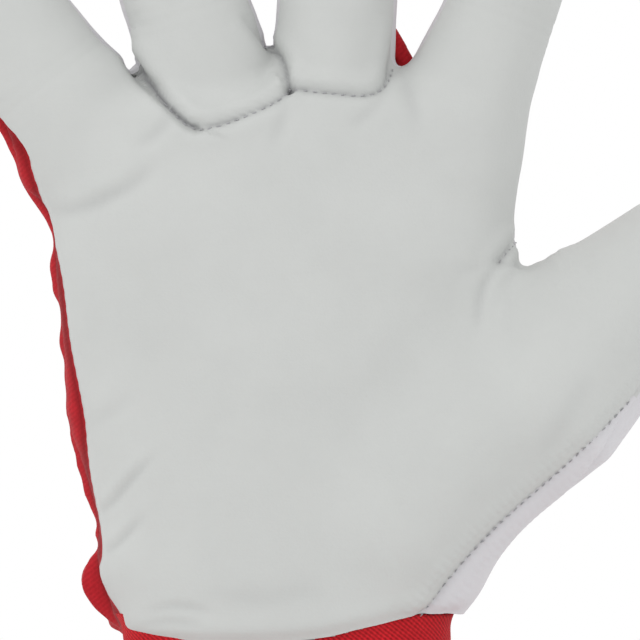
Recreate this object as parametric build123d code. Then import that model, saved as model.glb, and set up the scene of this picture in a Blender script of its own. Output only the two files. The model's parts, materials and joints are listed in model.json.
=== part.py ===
from build123d import *
import os
from math import cos, radians, sin, tan

# Right-hand gardening glove, filled as it is when worn: leather palm, red cotton back, twill cuff.
# Millimetres. Fingers point up (+Z), the palm faces -Y, the thumb is on the +X side.
# The origin is the middle of the cuff mouth.

# Overall sizes
CUFF_LENGTH = 60.0       # cuff mouth to wrist seam
PALM_LENGTH = 117.0      # wrist seam to the flat between the finger roots
PALM_WIDTH = 97.0        # across the knuckles
PALM_DEPTH = 41.0        # thickest part of the hand
WRIST_WIDTH = 69.4
WRIST_DEPTH = 49.0
CUFF_WIDTH = 86.0        # cuff mouth, side to side
CUFF_DEPTH = 62.0

# Materials
LEATHER = 1.2            # palm, finger fronts, side strips and thumb
CLOTH = 0.9              # red back and cuff
ELASTIC = 1.0            # tape inside the back at the wrist
ELASTIC_WIDTH = 12.0
ELASTIC_ABOVE_SEAM = 9.5
HEM_HEIGHT = 9.0         # turned edge at the cuff mouth
HEM_PROUD = 0.8          # how far the turned edge stands out of the cuff, inside and out
STRIP = 9.0              # width of the leather side strips between the fingers

# Bending
HINGE_GAP = 0.25         # each side of a bend line
WRIST_BEND = 30.0        # each way
KNUCKLE_BEND = 60.0
MIDDLE_BEND = 75.0
TIP_BEND = 37.5
THUMB_KNUCKLE_BEND = 35.0
THUMB_TIP_BEND = 60.0
STOP_MARGIN = 1.0        # degrees of room left at the end of a bend

# Fingers: root place across the palm as a share of half its width, drop below the top of the palm,
# lean away from upright in degrees, length above the web, radius at the root and at the tip,
# heights of the knuckle, middle and tip bends above the web, sides that face another finger.
FINGERS = {
    "little": (-0.874, 5.9, -37.0, 62.0, 13.0, 10.6, (10.0, 31.0, 49.0), (1,)),
    "ring": (-0.355, -4.4, -17.0, 78.0, 12.6, 10.8, (11.5, 36.5, 58.0), (-1, 1)),
    "middle": (0.208, -5.9, 2.0, 84.0, 12.3, 11.0, (12.0, 38.0, 63.0), (-1, 1)),
    "index": (0.81, -4.0, 21.0, 76.0, 12.0, 10.8, (11.5, 36.0, 57.0), (-1,)),
}
SEGMENTS = ("root", "mid", "tip")
ROOT_DEPTH = 30.0        # how far a finger runs down inside the hand

# Thumb: its root joint as shares of half the palm width and of the palm length, then along its axis
THUMB_ACROSS = 1.093
THUMB_UP = 0.444
THUMB_FORWARD = 4.0      # towards the palm side
THUMB_LEAN = 48.0
THUMB_ROLL = -35.0       # turn about its own axis, so that it closes across the palm
THUMB_BELOW = 44.0       # length of the thumb mound below the root joint
THUMB_LENGTH = 70.5
THUMB_RADII = (11.5, 19.5, 15.5, 13.5)   # mound end, root joint, tip joint, tip
THUMB_WAIST = 38.0       # where the third radius lies
THUMB_BENDS = (22.0, 45.0)

TOP = CUFF_LENGTH + PALM_LENGTH
HALF = PALM_WIDTH / 2
REACH = 200.0            # longer than any cut needs
SIDE_SEAM_IN = 0.62      # where the little-finger side seam plane leaves the middle plane
SIDE_SEAM_SLOPE = 0.4    # how far the back cloth wraps round to the palm side

# Height above the cuff mouth, middle in X, half width, half depth
WRIST_SECTION = (CUFF_LENGTH, 0.0, WRIST_WIDTH / 2, WRIST_DEPTH / 2)
CUFF_SECTIONS = ((0.0, 0.0, CUFF_WIDTH / 2, CUFF_DEPTH / 2), WRIST_SECTION)
PALM_SECTIONS = (
    WRIST_SECTION,
    (CUFF_LENGTH + PALM_LENGTH * 0.2, -1.0, HALF * 0.81, (WRIST_DEPTH + PALM_DEPTH) / 4),
    (CUFF_LENGTH + PALM_LENGTH * 0.47, -1.5, HALF * 0.94, PALM_DEPTH / 2),
    (CUFF_LENGTH + PALM_LENGTH * 0.73, -1.0, HALF, PALM_DEPTH * 0.43),
    (CUFF_LENGTH + PALM_LENGTH * 0.9, -0.5, HALF, PALM_DEPTH * 0.37),
    (TOP, 0.0, HALF * 0.93, PALM_DEPTH * 0.29),
)


def box(x0, x1, y0, y1, z0, z1):
    return Pos((x0 + x1) / 2, (y0 + y1) / 2, (z0 + z1) / 2) * Box(x1 - x0, y1 - y0, z1 - z0)


def stack(sections, inset, straight=False):
    """A closed form through ellipses, with every wall moved in by inset."""
    faces = []
    for height, middle, half_width, half_depth in sections:
        level = height - inset if height == TOP else height
        faces.append(Pos(middle, 0, level) * Ellipse(half_width - inset, half_depth - inset))
    return loft(Sketch() + faces, ruled=straight)


def cuff_form(inset):
    return stack(CUFF_SECTIONS, inset, straight=True)


def palm_form(inset):
    return stack(PALM_SECTIONS, inset)


def lean_plane(x, y, z, lean, roll=0.0):
    """Frame of a finger: Z along it, X across it, -Y on its palm side."""
    a, r = radians(lean), radians(roll)
    across = Vector(cos(a), 0, -sin(a)) * cos(r) + Vector(0, 1, 0) * sin(r)
    return Plane(origin=(x, y, z), x_dir=across, z_dir=(sin(a), 0, cos(a)))


def round_bar(outline):
    """Solid of revolution about Z from a list of (radius, height), closed by a half ball at the top."""
    (tip_radius, tip_height) = outline[-1]
    points = [(0, outline[0][1]), *outline]
    side = Polyline(*points)
    dome = CenterArc((0, tip_height), tip_radius, 0, 90)
    back = Line((0, tip_height + tip_radius), points[0])
    profile = make_face([*side.edges(), *dome.edges(), *back.edges()])
    return revolve(Plane.XZ * profile, Axis.Z)


def finger_form(name, inset):
    """A finger in its own frame."""
    _, _, _, length, root, tip, _, _ = FINGERS[name]
    return round_bar([(root - inset, -ROOT_DEPTH), (root - inset, 0), (tip - inset, length - tip)])


def thumb_form(inset):
    """The thumb and its mound in the thumb's frame."""
    below, joint, waist, tip = THUMB_RADII
    outline = [(below - inset, -THUMB_BELOW), (joint - inset, 0), (waist - inset, THUMB_WAIST)]
    return round_bar([*outline, (tip - inset, THUMB_LENGTH - tip)])


def finger_plane(name):
    share, drop, lean = FINGERS[name][:3]
    return lean_plane(share * HALF, 0, TOP - drop, lean)


def thumb_plane():
    height = CUFF_LENGTH + PALM_LENGTH * THUMB_UP
    return lean_plane(THUMB_ACROSS * HALF, -THUMB_FORWARD, height, THUMB_LEAN, THUMB_ROLL)


def bend_cut(height, bend, upwards, both_ways=False):
    """Tool that trims a tube at a bend line: square on the back, sloped on the side that closes."""
    way = 1 if upwards else -1
    slope = tan(radians(bend / 2 + STOP_MARGIN)) * REACH
    edge = height - way * HINGE_GAP
    back = edge - way * slope if both_ways else edge
    far = height + way * 3 * REACH
    points = [(-REACH, edge - way * slope), (0, edge), (REACH, back), (REACH, far), (-REACH, far)]
    return extrude(Plane.YZ * make_face(Polyline(*points, close=True)), REACH, both=True)


def front_half(left_top, right_top):
    """Everything on the palm side: the two sides of the finger may end at different depths."""
    left = box(-REACH, 0, -REACH, left_top, -REACH, REACH)
    return left + box(0, REACH, -REACH, right_top, -REACH, REACH)


def strips_region(sides):
    """The band along each side that faces another finger."""
    low = -REACH if -1 in sides else 0
    high = REACH if 1 in sides else 0
    return box(low, high, -STRIP / 2, STRIP / 2, -REACH, REACH)


def write(shape, name):
    solids = shape.solids()
    part = Compound(children=list(solids)) if len(solids) > 1 else solids[0]
    part.label = name
    export_step(part, f"parts/{name}.step")
    print(name, len(solids), round(sum(s.volume for s in solids)))


def finger_parts(name):
    """The three stretches of a finger, each a leather front, a cloth back and leather side strips."""
    heights, sides = FINGERS[name][6:]
    leather = finger_form(name, 0) - finger_form(name, LEATHER)
    cloth = finger_form(name, 0) - finger_form(name, CLOTH)
    fronts = front_half(*(-STRIP / 2 if side in sides else 0 for side in (-1, 1)))
    strips = strips_region(sides)
    bends = (KNUCKLE_BEND, MIDDLE_BEND, TIP_BEND)
    for i, segment in enumerate(SEGMENTS):
        ends = bend_cut(heights[i], bends[i], upwards=False)
        if i < 2:
            ends += bend_cut(heights[i + 1], bends[i + 1], upwards=True)
        skin = leather - ends
        frame = finger_plane(name).location
        write(frame * ((skin - strips) & fronts), f"{name}_{segment}_front")
        write(frame * (skin & strips), f"{name}_{segment}_side")
        write(frame * (cloth - ends - strips - fronts), f"{name}_{segment}_back")


def thumb_parts():
    """The two stretches of the thumb, each a leather front and a leather back."""
    leather = thumb_form(0) - thumb_form(LEATHER)
    bends = (THUMB_KNUCKLE_BEND, THUMB_TIP_BEND)
    front = box(-REACH, REACH, -REACH, 0, -REACH, REACH)
    for i, segment in enumerate(("root", "tip")):
        ends = bend_cut(THUMB_BENDS[i], bends[i], upwards=False)
        if i == 0:
            ends += bend_cut(THUMB_BENDS[1], bends[1], upwards=True)
        skin = leather - ends
        write(thumb_plane().location * (skin & front), f"thumb_{segment}_front")
        write(thumb_plane().location * (skin - front), f"thumb_{segment}_back")


def hand_form(inset):
    """The hand and the roots of the fingers and thumb, up to their first bend lines."""
    form = palm_form(inset)
    for name in FINGERS:
        knuckle = FINGERS[name][6][0]
        root = finger_form(name, inset) - bend_cut(knuckle, KNUCKLE_BEND, upwards=True)
        form += finger_plane(name).location * root
    thumb = thumb_form(inset) - bend_cut(THUMB_BENDS[0], THUMB_KNUCKLE_BEND, upwards=True)
    return form + thumb_plane().location * thumb


def web_point(left, right):
    """Where the facing sides of two fingers meet, in X and Z."""
    a, b = finger_plane(left), finger_plane(right)
    p = a.origin + a.x_dir * FINGERS[left][4]
    q = b.origin - b.x_dir * FINGERS[right][4]
    return (p + q) / 2


def web_region(left, right):
    """The wedge that holds the leather gusset between two fingers."""
    a, b = finger_plane(left), finger_plane(right)
    low = web_point(left, right) - Vector(0, 0, 2 * STRIP)
    side = Vector(STRIP * 0.6, 0, 0)
    far_a = a.origin + a.z_dir * 3 * STRIP + a.x_dir * FINGERS[left][4] * 0.5
    far_b = b.origin + b.z_dir * 3 * STRIP - b.x_dir * FINGERS[right][4] * 0.5
    corners = [(p.X, p.Z) for p in (low - side, low + side, far_b, far_a)]
    return extrude(Plane.XZ * make_face(Polyline(*corners, close=True)), STRIP / 2, both=True)


def side_prism(points):
    """A region seen from the palm side, given as (X, Z) points, running right through in Y."""
    return extrude(Plane.XZ * make_face(Polyline(*points, close=True)), REACH, both=True)


def palm_side_region():
    """The palm side of the hand: the back cloth wraps round on the little-finger side."""
    turn = -HALF * SIDE_SEAM_IN
    outer = -(REACH + turn) * SIDE_SEAM_SLOPE
    points = [(-REACH, outer), (turn, 0), (REACH, 0), (REACH, -REACH), (-REACH, -REACH)]
    face = make_face(Polyline(*points, close=True))
    return Pos(0, 0, -REACH) * extrude(face, 3 * REACH)


def base_region(name, below):
    """The root of a finger on the palm side, above its sewn base line."""
    root = FINGERS[name][4]
    local = box(-root - 1, root + 1, -REACH, 0, -below, REACH)
    return finger_plane(name).location * local


def hand_parts():
    outer = hand_form(0)
    hand_cut = bend_cut(CUFF_LENGTH, WRIST_BEND, upwards=False, both_ways=True)
    leather = outer - hand_form(LEATHER)
    cloth = outer - hand_form(CLOTH)
    palm_side = palm_side_region()

    # Gussets between the fingers and at the thumb crotch
    webs = {}
    names = list(FINGERS)
    for left, right in zip(names, names[1:]):
        webs[f"{left}_{right}_gusset"] = web_region(left, right)
    thumb = thumb_plane()
    crotch = Vector(HALF * 0.97, 0, thumb.origin.Z + THUMB_RADII[1])
    crotch_ball = Pos(crotch.X, -THUMB_FORWARD / 2, crotch.Z) * Sphere(STRIP)
    webs["thumb_crotch_gusset"] = crotch_ball
    hand_leather = leather - hand_cut
    all_webs = Part() + list(webs.values())
    for name, region in webs.items():
        write(hand_leather & region, name)
    hand_leather -= all_webs

    # The ring and middle finger fronts are pieces of their own, sewn on at their bases
    front = hand_leather & palm_side
    ring = base_region("ring", 11.0)
    middle = base_region("middle", 7.0) - ring
    write(front & ring, "ring_base_front")
    write(front & middle, "middle_base_front")
    front = front - ring - middle

    # The wing of the thumb: its front edge is the slanting seam from the wrist to the thumb,
    # and behind it covers the whole mound
    foot = Vector(thumb.origin.X - HALF * 0.643, 0, CUFF_LENGTH)
    along = Vector(1, 0, 1.02)
    far = foot + along * REACH
    wing_front = side_prism([(foot.X, foot.Z), (far.X, far.Z), (REACH, 0), (foot.X, 0)])
    crotch_low, crotch_high = (crotch.X - 2, crotch.Z), (HALF + 2, crotch.Z + STRIP)
    edge = [(foot.X, foot.Z), crotch_low, crotch_high]
    wing_back = side_prism([(foot.X, 0), *edge, (REACH, TOP), (REACH, 0)])
    back_side = hand_leather - palm_side
    # A tab of it wraps over the top of the thumb's root, beside the crotch gusset
    tab_start = crotch.X + STRIP * 0.75
    wing_front += box(tab_start, REACH, -STRIP * 0.3, 0, crotch.Z, crotch.Z + 2 * STRIP)
    write((front & wing_front) + (back_side & wing_back), "thumb_wing")
    write(front - wing_front, "palm_leather")
    write(cloth - hand_cut - all_webs - palm_side - wing_back, "back_cloth")

    # Elastic tape sewn inside the back at the wrist
    low = CUFF_LENGTH + ELASTIC_ABOVE_SEAM
    band = box(-WRIST_WIDTH * 0.36, WRIST_WIDTH * 0.36, 0, REACH, low, low + ELASTIC_WIDTH)
    band -= wing_back
    write((palm_form(CLOTH) - palm_form(CLOTH + ELASTIC)) & band, "wrist_elastic")


def cuff_parts():
    """A front and a back panel above the turned edge."""
    panel = cuff_form(0) - cuff_form(CLOTH)
    panel -= bend_cut(CUFF_LENGTH, WRIST_BEND, upwards=True, both_ways=True)
    panel -= box(-REACH, REACH, -REACH, REACH, -REACH, HEM_HEIGHT)
    front = box(-REACH, REACH, -REACH, 0, -REACH, REACH)
    write(panel & front, "cuff_front")
    write(panel - front, "cuff_back")
    edge = cuff_form(-HEM_PROUD) - cuff_form(CLOTH + HEM_PROUD)
    write(edge & box(-REACH, REACH, -REACH, REACH, 0, HEM_HEIGHT), "cuff_hem")


os.makedirs("parts", exist_ok=True)
for finger in FINGERS:
    finger_parts(finger)
thumb_parts()
hand_parts()
cuff_parts()
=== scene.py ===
# %% [markdown]
# # A gardening glove, filled as it is when worn
# The glove is a right-hand one: a leather palm, finger fronts and thumb, a red cotton back and a
# twill cuff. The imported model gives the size, the bends and the bodies; this lesson gives the looks.
# Everything starts from that frame, so no piece has to be fitted afterwards.

# %% Load the frame
import json
import math
import time

import bpy
import numpy as np
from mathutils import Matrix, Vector, kdtree


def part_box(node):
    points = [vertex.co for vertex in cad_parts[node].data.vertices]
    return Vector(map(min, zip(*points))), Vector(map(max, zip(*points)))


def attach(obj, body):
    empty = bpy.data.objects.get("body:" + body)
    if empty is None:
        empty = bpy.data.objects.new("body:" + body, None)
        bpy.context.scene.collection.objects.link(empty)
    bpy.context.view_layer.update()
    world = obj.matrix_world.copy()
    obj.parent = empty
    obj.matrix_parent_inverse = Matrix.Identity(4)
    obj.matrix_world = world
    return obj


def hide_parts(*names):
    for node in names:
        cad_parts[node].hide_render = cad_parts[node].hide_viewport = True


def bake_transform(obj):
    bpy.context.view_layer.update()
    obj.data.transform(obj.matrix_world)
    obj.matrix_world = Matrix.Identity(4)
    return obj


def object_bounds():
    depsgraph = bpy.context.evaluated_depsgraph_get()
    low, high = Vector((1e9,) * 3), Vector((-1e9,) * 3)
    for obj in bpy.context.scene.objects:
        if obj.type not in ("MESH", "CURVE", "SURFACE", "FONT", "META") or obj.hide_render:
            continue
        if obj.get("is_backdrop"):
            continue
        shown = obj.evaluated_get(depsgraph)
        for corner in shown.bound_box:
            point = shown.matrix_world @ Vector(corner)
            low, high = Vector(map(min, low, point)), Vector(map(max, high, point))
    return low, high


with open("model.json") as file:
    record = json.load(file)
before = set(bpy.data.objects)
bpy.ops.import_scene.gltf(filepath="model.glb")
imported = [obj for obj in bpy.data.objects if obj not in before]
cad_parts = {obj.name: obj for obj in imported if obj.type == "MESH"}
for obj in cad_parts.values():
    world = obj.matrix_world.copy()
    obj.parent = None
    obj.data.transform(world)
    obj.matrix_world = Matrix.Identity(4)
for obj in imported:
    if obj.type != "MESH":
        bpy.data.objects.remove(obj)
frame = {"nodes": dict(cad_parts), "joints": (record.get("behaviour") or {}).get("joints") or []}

cad_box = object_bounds()
started = time.time()
MM = 0.001
print("CAD box", cad_box)

# %% [markdown]
# ## Where the fingers are
# A finger is easiest to shape in a frame of its own: one axis along it, one across it and one towards
# its back. The joints already hold those directions, so each frame is read from its first two
# bends instead of being typed in again. Work is in millimetres and turns to metres at the end.

# %% Frames of the fingers and the thumb
FINGERS = ("little", "ring", "middle", "index")
joints = {j["name"]: j for j in frame["joints"]}


def finger_frame(name, second_bend, knuckle_height):
    """The point on the axis at web level, and the directions across, towards the back and along."""
    knuckle = np.array(joints[f"{name}_knuckle"]["pos_m"]) / MM
    second = np.array(joints[second_bend]["pos_m"]) / MM
    along = (second - knuckle) / np.linalg.norm(second - knuckle)
    across = np.array(joints[f"{name}_knuckle"]["axis"])
    origin = knuckle - along * knuckle_height
    return origin, across, np.cross(along, across), along


def tip_height(name, node):
    """How far a finger reaches along its axis, from its CAD tip."""
    origin, _, _, along = frames[name]
    points = np.array([v.co for v in frame["nodes"][node].data.vertices]) / MM
    return float(((points - origin) @ along).max())


KNUCKLE_HEIGHT = {"little": 10.0, "ring": 11.5, "middle": 12.0, "index": 11.5, "thumb": 22.0}
frames = {}
for name in FINGERS:
    frames[name] = finger_frame(name, f"{name}_middle_joint", KNUCKLE_HEIGHT[name])
frames["thumb"] = finger_frame("thumb", "thumb_tip_joint", KNUCKLE_HEIGHT["thumb"])
LENGTH = {name: tip_height(name, f"{name}_tip_front") for name in FINGERS}
LENGTH["thumb"] = tip_height("thumb", "thumb_tip_front")
print({name: round(length, 1) for name, length in LENGTH.items()})

# %% [markdown]
# ## The filled form
# A stuffed glove has no flat face and no sharp corner, and its fingers melt into the hand. Sculpting
# or subdividing a box would work, but the webs between fingers are hard to get even. Here the form
# is a distance field: every limb is a tube with listed widths, the hand is a slab with rounded
# sides, and a smooth union joins them. Points where the distance is zero are the surface.

# %% Widths of every limb, and the smooth union
# (height above the web, half width, half depth, shift across), in the finger's own frame
LIMBS = {
    "little": [(-30, 14, 9, 0), (-14, 17.4, 11, -1.6), (-6, 17.0, 11.3, -2.8), (3, 15.3, 11.5, -2.1),
               (10, 14.4, 11.3, -2.6), (21, 13.3, 11, -2.2), (34, 12.6, 10.6, -1.8),
               (49, 11.4, 9.8, -1.2), (62, 9.8, 9, -0.8)],
    "ring": [(-30, 11, 9, 0), (-10, 13, 11.3, -0.4), (0, 13.6, 11.8, -0.7), (10, 13.1, 11.6, -0.8),
             (18, 12.8, 11.4, -0.9), (36, 12.2, 10.8, -0.6), (58, 11.4, 10, -0.3), (78, 10, 9, 0)],
    "middle": [(-30, 11, 9, 0), (-10, 12.4, 11.3, -0.5), (0, 12.45, 11.6, -0.55), (12, 12.3, 11.4, -0.5),
               (38, 12, 10.8, -0.2), (63, 11.4, 10, 0), (84, 10, 9, 0)],
    "index": [(-40, 13, 9, 1), (-12, 14.2, 11, 0.9), (-3, 13.4, 11.5, 0.8), (2, 12.7, 11.5, 0.85),
              (10, 11.8, 11.3, 0.85), (19, 11.15, 11.1, 0.8), (36, 11.2, 10.7, 0.6), (57, 10.8, 10, 0.2),
              (76, 9.8, 9, 0)],
    "thumb": [(-46, 14, 12, 3), (-29, 17.6, 15.5, 1), (-13, 18.7, 17, 0.6), (-3, 20.2, 17, 0.2),
              (1, 20.8, 17, 0), (6, 20.2, 17, -0.6), (13, 19.2, 16.4, -1.4), (24, 17.6, 15.2, -2.2),
              (33, 16.4, 14.3, -1.7), (42, 15.6, 13.6, -0.9), (56, 13.8, 12.2, 0), (70, 12, 10, 0)],
}
# (height above the cuff mouth, left edge, right edge, depth to the front, depth to the back)
HAND = [(45, -33.5, 32.4, 21.5, 21.5), (61, -34.8, 33.6, 21.8, 22), (66, -37.2, 35.8, 21.6, 22),
        (74, -40.2, 38.5, 21, 21.5), (84, -40.5, 40.5, 20, 20.4), (95, -43, 41.5, 19, 19),
        (107, -45.4, 42.5, 18, 18), (120, -47, 44, 17.2, 17.4), (132, -48.5, 45.5, 16.6, 17),
        (145, -49.9, 47.3, 16, 16.4), (155, -49.9, 48.2, 15.3, 15.6), (165, -48.5, 48.6, 14.6, 14.8),
        (176, -46, 47, 13, 13)]
HAND_TOP = 168.0
HAND_ROUND = 11.0        # rounding of the hand's top edge
HAND_POWER = 2.5         # 2 is an ellipse; more is flatter across the palm
MELT = {"little": 3.0, "ring": 2.6, "middle": 4.5, "index": 4.5, "thumb": 13.0}
TIP_ROUND = {"little": 11.6, "ring": 11.8, "middle": 12.0, "index": 11.8, "thumb": 14.0}
ROOT = {"little": -22.0, "ring": -22.0, "middle": -22.0, "index": -22.0, "thumb": -40.0}
ROOT_ROUND = 12.0
TINY = 1e-6
# A tuck of cloth fills the bottom of the gap between the middle and index fingers, behind the leather
TUCK_LOW, TUCK_RUN = np.array([24.3, 5.2, 181.4], np.float32), np.array([-3.5, 0, 5.8], np.float32)
TUCK_RADIUS, TUCK_MELT = 1.9, 1.2


def smooth_union(a, b, reach):
    """The nearer of two distances, melted together where they differ by less than reach."""
    h = np.clip(0.5 + 0.5 * (b - a) / reach, 0, 1)
    return b + (a - b) * h - reach * h * (1 - h)


def through(x, stations, column):
    """A smooth curve through given stations, held level past both ends."""
    xs = np.array([s[0] for s in stations], np.float32)
    ys = np.array([s[column] for s in stations], np.float32)
    slope = np.gradient(ys, xs)
    x = np.clip(x, xs[0], xs[-1])
    i = np.clip(np.searchsorted(xs, x) - 1, 0, len(xs) - 2)
    step = xs[i + 1] - xs[i]
    t = (x - xs[i]) / step
    start = (2 * t**3 - 3 * t**2 + 1) * ys[i] + (t**3 - 2 * t**2 + t) * step * slope[i]
    return start + (3 * t**2 - 2 * t**3) * ys[i + 1] + (t**3 - t**2) * step * slope[i + 1]


def local(points, name):
    """Points in a limb's own frame: across, towards the back and along."""
    origin, across, back, along = frames[name]
    q = points - origin
    return q @ across, q @ back, q @ along


def limb_distance(points, name):
    """Distance from one limb: an ellipse at every height, rounded off at the tip and the root."""
    x, y, s = local(points, name)
    width, depth = through(s, LIMBS[name], 1), through(s, LIMBS[name], 2)
    x = x - through(s, LIMBS[name], 3)
    round_tip = TIP_ROUND[name]
    over = np.maximum(s - LENGTH[name] + round_tip, 0) / round_tip
    over = over + np.maximum(ROOT[name] - s, 0) / ROOT_ROUND
    u, v = x / width, y / depth
    rho = np.sqrt(u * u + v * v + over * over) + TINY
    slope = np.sqrt((u / width) ** 2 + (v / depth) ** 2 + (over / round_tip) ** 2) / rho + TINY
    return (rho - 1) / slope


def hand_distance(points):
    """Distance from the hand: a flattened oval at every height, rounded off at the top."""
    x, y, z = points[:, 0], points[:, 1], points[:, 2]
    left, right = through(z, HAND, 1), through(z, HAND, 2)
    depth = np.where(y < 0, through(z, HAND, 3), through(z, HAND, 4))
    half = (right - left) / 2
    u, v = np.abs(x - (left + right) / 2) / half, np.abs(y) / depth
    w = np.maximum(z - HAND_TOP, 0) / HAND_ROUND
    n = HAND_POWER
    rho = (u**n + v**n + w**n) ** (1 / n) + TINY
    g = rho ** (1 - n)
    slope = (g * u ** (n - 1) / half) ** 2 + (g * v ** (n - 1) / depth) ** 2
    slope = np.sqrt(slope + (g * w ** (n - 1) / HAND_ROUND) ** 2) + TINY
    return (rho - 1) / slope


def glove_distance(points):
    """Signed distance from the filled glove, in millimetres, negative inside."""
    points = np.asarray(points, np.float32)
    form = hand_distance(points)
    for name, melt in MELT.items():
        form = smooth_union(form, limb_distance(points, name), melt)
    share = np.clip(((points - TUCK_LOW) @ TUCK_RUN) / (TUCK_RUN @ TUCK_RUN), 0, 1)[:, None]
    tuck = np.linalg.norm(points - TUCK_LOW - TUCK_RUN * share, axis=1) - TUCK_RADIUS
    return smooth_union(form, tuck, TUCK_MELT)


form = glove_distance(np.array([[0.0, 0, 120], [0, 0, 160], [0, 0, 300]]))
print("distance at three heights", [round(float(v), 1) for v in form])


# %% [markdown]
# ## From distances to a mesh
# A grid of distances becomes a mesh with surface nets: every grid cell that the surface passes
# through gets one vertex, and every grid edge that it crosses gets one face. That gives even, small
# faces, which later take seams and creases well. Only cells near the surface are worked out in
# full, because a fine grid of the whole box would be slow.

# %% Surface nets
STEP = 0.7
COARSE = 4                             # fine cells in a coarse one, each way
NEAR = 5.0                             # distance within which cells are worked out finely
LOW = np.array([-88.0, -30.0, 50.0])
HIGH = np.array([118.0, 30.0, 272.0])


def distance_grid():
    count = np.ceil((HIGH - LOW) / (STEP * COARSE)).astype(int) + 1
    axes = [LOW[i] + STEP * COARSE * np.arange(count[i]) for i in range(3)]
    coarse = np.stack(np.meshgrid(*axes, indexing="ij"), -1).reshape(-1, 3)
    values = glove_distance(coarse).reshape(count)
    fine = values.repeat(COARSE, 0).repeat(COARSE, 1).repeat(COARSE, 2)
    near = np.argwhere(np.abs(values) < NEAR + STEP * COARSE)
    shift = np.stack(np.meshgrid(*[np.arange(COARSE)] * 3, indexing="ij"), -1).reshape(-1, 3)
    cells = (near[:, None, :] * COARSE + shift[None]).reshape(-1, 3)
    fine[tuple(cells.T)] = glove_distance(LOW + cells * STEP)
    return fine


def surface_nets(values):
    inside = values < 0
    corners = np.stack(np.meshgrid((0, 1), (0, 1), (0, 1), indexing="ij"), -1).reshape(-1, 3)
    shape = np.array(values.shape) - 1
    some = np.zeros(shape, bool)
    every = np.ones(shape, bool)
    for i, j, k in corners:
        part = inside[i:i + shape[0], j:j + shape[1], k:k + shape[2]]
        some |= part
        every &= part
    cells = np.argwhere(some & ~every)
    number = np.full(shape, -1, np.int32)
    number[tuple(cells.T)] = np.arange(len(cells))
    at = [values[tuple((cells + c).T)] for c in corners]
    total, hits = np.zeros((len(cells), 3)), np.zeros(len(cells))
    for a in range(8):
        for b in range(a + 1, 8):
            if np.abs(corners[a] - corners[b]).sum() != 1:
                continue
            cross = (at[a] < 0) != (at[b] < 0)
            t = np.where(cross, at[a] / np.where(cross, at[a] - at[b], 1), 0)[:, None]
            total += np.where(cross[:, None], corners[a] + t * (corners[b] - corners[a]), 0)
            hits += cross
    verts = LOW + (cells + total / hits[:, None]) * STEP
    quads = []
    for axis in range(3):
        one = np.roll(np.eye(3, dtype=int), axis, 0)
        ahead, u, v = one[0], one[1], one[2]
        size = shape - ahead
        first = inside[tuple(slice(0, n) for n in size)]
        after = inside[tuple(slice(a, a + n) for a, n in zip(ahead, size))]
        edges = np.argwhere(first != after)
        edges = edges[(edges @ u > 0) & (edges @ v > 0)]
        flip = first[tuple(edges.T)]
        ring = [number[tuple((edges - d).T)] for d in (0 * u, u, u + v, v)]
        quad = np.stack(ring, 1)
        quad[~flip] = quad[~flip][:, ::-1]
        quads.append(quad)
    return verts, np.concatenate(quads)


def gradient(function, points, step=0.05):
    found = np.empty((len(points), 3))
    for axis in range(3):
        move = np.zeros(3)
        move[axis] = step
        found[:, axis] = (function(points + move) - function(points - move)) / (2 * step)
    return found


def unit(vectors):
    return vectors / np.maximum(np.linalg.norm(vectors, axis=1, keepdims=True), 1e-9)


verts, quads = surface_nets(distance_grid())
for _ in range(2):
    slope = gradient(glove_distance, verts)
    verts -= slope * (glove_distance(verts) / np.maximum((slope**2).sum(1), 0.2))[:, None]
tris = np.concatenate([quads[:, (0, 1, 2)], quads[:, (0, 2, 3)]])
middle = verts[tris].mean(1)
face_normal = np.cross(verts[tris[:, 1]] - verts[tris[:, 0]], verts[tris[:, 2]] - verts[tris[:, 0]])
outward = (face_normal * gradient(glove_distance, middle)).sum(1)
print("surface", len(verts), "vertices", len(tris), "triangles", "outward share",
      round(float((outward > 0).mean()), 3), "time", round(time.time() - started, 1))

# %% [markdown]
# ## Where the seams and folds run
# Sewing pulls leather down along a line and the filling puffs it up beside it, so seams decide most
# of the shape. Each line is given by a few points in X and Z, smoothed, and laid on the front of
# the form. The same lines shape the surface, divide the panels and carry the stitches.

# %% Seam and fold lines
def smooth_line(points, step=0.5):
    """A Catmull-Rom curve through given (X, Z) points, sampled evenly."""
    p = np.array(points, float)
    p = np.concatenate([[2 * p[0] - p[1]], p, [2 * p[-1] - p[-2]]])
    out = []
    for a, b, c, d in zip(p, p[1:], p[2:], p[3:]):
        n = max(2, int(np.linalg.norm(c - b) / step))
        t = (np.arange(n) / n)[:, None]
        out.append(0.5 * (2 * b + (c - a) * t + (2 * a - 5 * b + 4 * c - d) * t**2
                          + (3 * b - a - 3 * c + d) * t**3))
    return np.concatenate(out + [p[-2:-1]])


def to_line(points, line):
    """(distance, signed distance, share along) from (X, Z) points to a line; left of it is positive."""
    best = np.full(len(points), np.inf)
    sign = np.ones(len(points))
    along = np.zeros(len(points))
    for k, (a, b) in enumerate(zip(line, line[1:])):
        d = b - a
        t = np.clip(((points - a) @ d) / (d @ d), 0, 1)
        off = points - a - t[:, None] * d
        r = np.hypot(off[:, 0], off[:, 1])
        nearer = r < best - 1e-9
        best = np.where(nearer, r, best)
        sign = np.where(nearer, np.sign(d[0] * off[:, 1] - d[1] * off[:, 0]), sign)
        along = np.where(nearer, (k + t) / (len(line) - 1), along)
    return best, best * sign, along


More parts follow.
